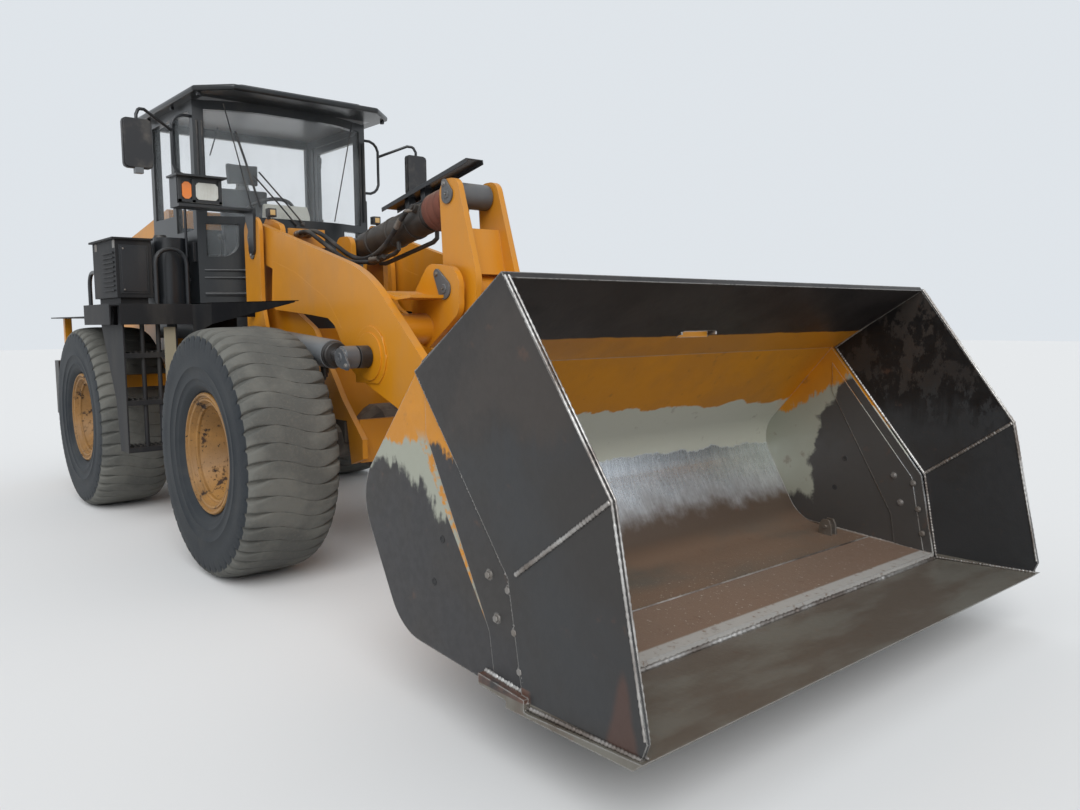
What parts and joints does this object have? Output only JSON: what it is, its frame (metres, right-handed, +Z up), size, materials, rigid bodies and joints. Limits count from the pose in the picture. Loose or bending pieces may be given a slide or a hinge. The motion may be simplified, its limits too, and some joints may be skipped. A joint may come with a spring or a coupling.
{
  "type": "wheel loader",
  "caption": "Articulated wheel loader with a raised cab, Z-bar lift arms and a wide bucket enlarged by welded plates.",
  "frame": {"origin": "on the ground, in the middle of the bounding box", "axes": "+X forward, +Y to the left, +Z up"},
  "size_m": [8.73, 2.98, 3.44],
  "materials": {
    "yellow": "satin yellow-orange paint, dusty",
    "dark": "black satin paint",
    "grey_cyl": "dark grey paint",
    "chrome_rod": "hard chrome",
    "steel": "worn dark steel, rusty",
    "rubber_tread": "dusty rubber",
    "ochre": "ochre paint, rusty",
    "cast": "cast iron",
    "pane": "tinted glass",
    "trim": "matte black",
    "seat_cloth": "dark cloth",
    "oxide": "red-oxide primer"
  },
  "bodies": {
    "chassis": {"rear_frame": "yellow", "rear_axle": "cast", "engine_block": "cast", "counterweight": "dark", "hood": "yellow", "grille": "dark", "exhaust_stack": "dark", "air_intake": "dark", "cab_body": "dark", "cab_roof": "dark", "cab_glass": "pane", "seat": "seat_cloth", "seat_base": "trim", "dashboard": "trim", "steering_wheel": "trim", "platforms": "dark", "side_box": "dark", "tank": "dark", "ladders": "dark", "handrails": "dark", "mirrors": "trim", "rear_lamps": "trim"},
    "front_half": {"front_frame": "yellow", "front_axle": "cast", "front_fenders": "yellow", "headlamps": "dark"},
    "lift_arms": {"boom": "yellow"},
    "rocker": {"bell_crank": "yellow"},
    "pushrod": {"tilt_link": "yellow"},
    "scoop": {"bucket": "steel", "bucket_extension": "steel"},
    "cab_door": {"door_left": "dark", "door_glass": "pane"},
    "hood_door_left": {"lid_left": "yellow"},
    "hood_door_right": {"lid_right": "yellow"},
    "lift_cylinder_left": {"lift_barrel_left": "grey_cyl"},
    "lift_piston_left": {"lift_rod_left": "chrome_rod"},
    "steer_cylinder_left": {"steer_barrel_left": "grey_cyl"},
    "steer_piston_left": {"steer_rod_left": "chrome_rod"},
    "lift_cylinder_right": {"lift_barrel_right": "grey_cyl"},
    "lift_piston_right": {"lift_rod_right": "chrome_rod"},
    "steer_cylinder_right": {"steer_barrel_right": "grey_cyl"},
    "steer_piston_right": {"steer_rod_right": "chrome_rod"},
    "tilt_cylinder": {"tilt_barrel": "grey_cyl", "tilt_collar": "oxide", "tilt_guard": "dark"},
    "tilt_piston": {"tilt_rod": "chrome_rod"},
    "wheel_front_left": {"tyre_front_left": "rubber_tread", "rim_front_left": "ochre"},
    "wheel_front_right": {"tyre_front_right": "rubber_tread", "rim_front_right": "ochre"},
    "wheel_rear_left": {"tyre_rear_left": "rubber_tread", "rim_rear_left": "ochre"},
    "wheel_rear_right": {"tyre_rear_right": "rubber_tread", "rim_rear_right": "ochre"}
  },
  "joints": [
    {"name": "steer", "type": "hinge", "parent": "chassis", "child": "front_half", "pos_m": [-0.98, 0, 0.85], "axis": [0, 0, 1], "range_deg": [-35, 35]},
    {"name": "boom_lift", "type": "hinge", "parent": "front_half", "child": "lift_arms", "pos_m": [-0.45, 0, 2.24], "axis": [0, -1, 0], "range_deg": [-5, 65]},
    {"name": "bucket_tilt", "type": "hinge", "parent": "lift_arms", "child": "scoop", "pos_m": [2.46, 0, 0.46], "axis": [0, 1, 0], "range_deg": [-45, 110]},
    {"name": "rocker_turn", "type": "hinge", "parent": "lift_arms", "child": "rocker", "pos_m": [1.56, 0, 1.8], "axis": [0, -1, 0], "range_deg": [-9.5, 22.5]},
    {"name": "pushrod_turn", "type": "hinge", "parent": "scoop", "child": "pushrod", "pos_m": [2.576, 0, 0.779], "axis": [0, -1, 0], "range_deg": [-31.55, 76.4]},
    {"name": "lift_cylinder_turn_left", "type": "hinge", "parent": "front_half", "child": "lift_cylinder_left", "pos_m": [-0.32, 0.705, 1.5], "axis": [0, -1, 0], "range_deg": [-5.15, 60.95]},
    {"name": "lift_piston_slide_left", "type": "slide", "parent": "lift_cylinder_left", "child": "lift_piston_left", "axis": [0.9973, 0, -0.0731], "range_m": [-0.0622, 0.7848]},
    {"name": "lift_cylinder_turn_right", "type": "hinge", "parent": "front_half", "child": "lift_cylinder_right", "pos_m": [-0.32, -0.705, 1.5], "axis": [0, -1, 0], "range_deg": [-5.15, 60.95]},
    {"name": "lift_piston_slide_right", "type": "slide", "parent": "lift_cylinder_right", "child": "lift_piston_right", "axis": [0.9973, 0, -0.0731], "range_m": [-0.0622, 0.7848]},
    {"name": "tilt_cylinder_turn", "type": "hinge", "parent": "front_half", "child": "tilt_cylinder", "pos_m": [0.12, 0, 2.14], "axis": [0, -1, 0], "range_deg": [-6.42, 77.4]},
    {"name": "tilt_piston_slide", "type": "slide", "parent": "tilt_cylinder", "child": "tilt_piston", "axis": [0.9852, 0, 0.1713], "range_m": [-0.0257, 0.31]},
    {"name": "steer_cylinder_turn_left", "type": "hinge", "parent": "chassis", "child": "steer_cylinder_left", "pos_m": [-1.66, 0.33, 0.86], "axis": [0, 0, 1], "range_deg": [-7.5, 7.5]},
    {"name": "steer_piston_slide_left", "type": "slide", "parent": "steer_cylinder_left", "child": "steer_piston_left", "axis": [0.9999, 0.0114, 0], "range_m": [-0.2036, 0.2036]},
    {"name": "steer_cylinder_turn_right", "type": "hinge", "parent": "chassis", "child": "steer_cylinder_right", "pos_m": [-1.66, -0.33, 0.86], "axis": [0, 0, 1], "range_deg": [-7.5, 7.5]},
    {"name": "steer_piston_slide_right", "type": "slide", "parent": "steer_cylinder_right", "child": "steer_piston_right", "axis": [0.9999, -0.0114, 0], "range_m": [-0.2036, 0.2036]},
    {"name": "door_left_swing", "type": "hinge", "parent": "chassis", "child": "cab_door", "pos_m": [-2.066, 0.789, 2.5], "axis": [0, 0, 1], "range_deg": [0, 105]},
    {"name": "lid_left_swing", "type": "hinge", "parent": "chassis", "child": "hood_door_left", "pos_m": [-3.17, 0.6203, 2.225], "axis": [1, 0, 0], "range_deg": [0, 70]},
    {"name": "lid_right_swing", "type": "hinge", "parent": "chassis", "child": "hood_door_right", "pos_m": [-3.17, -0.6203, 2.225], "axis": [-1, 0, 0], "range_deg": [0, 70]},
    {"name": "wheel_front_left_roll", "type": "hinge", "parent": "front_half", "child": "wheel_front_left", "pos_m": [0.52, 1.11, 0.79], "axis": [0, 1, 0], "continuous": true},
    {"name": "wheel_front_right_roll", "type": "hinge", "parent": "front_half", "child": "wheel_front_right", "pos_m": [0.52, -1.11, 0.79], "axis": [0, 1, 0], "continuous": true},
    {"name": "wheel_rear_left_roll", "type": "hinge", "parent": "chassis", "child": "wheel_rear_left", "pos_m": [-2.48, 1.11, 0.79], "axis": [0, 1, 0], "continuous": true},
    {"name": "wheel_rear_right_roll", "type": "hinge", "parent": "chassis", "child": "wheel_rear_right", "pos_m": [-2.48, -1.11, 0.79], "axis": [0, 1, 0], "continuous": true}
  ],
  "couplings": [
    {"joint": "rocker_turn", "follows": "bucket_tilt", "ratio": 0.2},
    {"joint": "pushrod_turn", "follows": "bucket_tilt", "ratio": 0.69},
    {"joint": "lift_cylinder_turn_left", "follows": "boom_lift", "ratio": 0.93},
    {"joint": "lift_piston_slide_left", "follows": "boom_lift", "m_per_rad": 0.69},
    {"joint": "lift_cylinder_turn_right", "follows": "boom_lift", "ratio": 0.93},
    {"joint": "lift_piston_slide_right", "follows": "boom_lift", "m_per_rad": 0.69},
    {"joint": "tilt_cylinder_turn", "follows": "boom_lift", "ratio": 1.183},
    {"joint": "tilt_piston_slide", "follows": "boom_lift", "m_per_rad": 0.2715},
    {"joint": "steer_cylinder_turn_left", "follows": "steer", "ratio": 0.2},
    {"joint": "steer_piston_slide_left", "follows": "steer", "m_per_rad": -0.33},
    {"joint": "steer_cylinder_turn_right", "follows": "steer", "ratio": 0.2},
    {"joint": "steer_piston_slide_right", "follows": "steer", "m_per_rad": 0.33}
  ]
}
